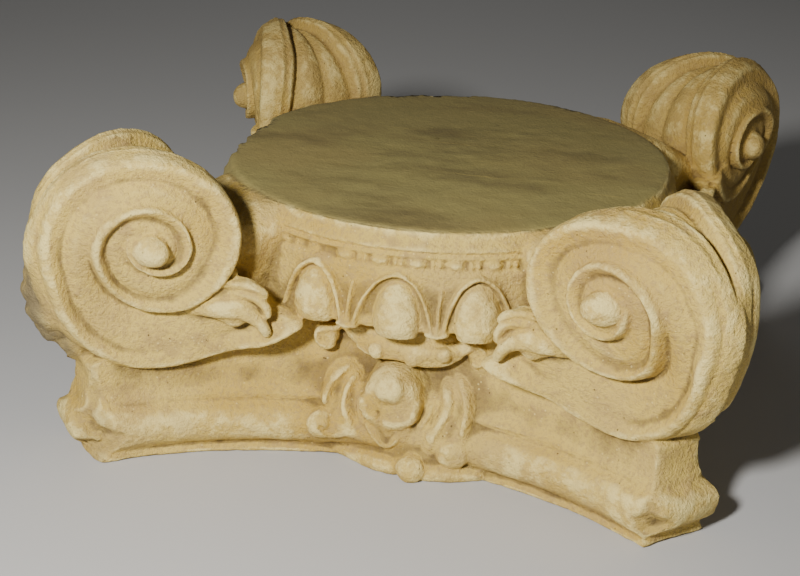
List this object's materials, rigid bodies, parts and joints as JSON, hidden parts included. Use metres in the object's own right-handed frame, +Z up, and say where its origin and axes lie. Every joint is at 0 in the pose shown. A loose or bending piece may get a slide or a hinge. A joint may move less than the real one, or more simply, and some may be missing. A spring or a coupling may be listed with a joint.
{
  "type": "ionic capital",
  "caption": "Angular Ionic capital in toned cast stone, shown upside down on its abacus, with corner volutes, an egg row and a fleuron on each side.",
  "frame": {"origin": "centre of the abacus underside, on the surface the capital stands on", "axes": "+Z up through the round bed; -Y is one of the four like sides"},
  "size_m": [0.4034, 0.4034, 0.1921],
  "materials": {
    "cast_stone": "matt, cream-toned and rubbed, grey-green where bare or broken"
  },
  "bodies": {
    "root": {"capital": "cast_stone"}
  },
  "joints": []
}
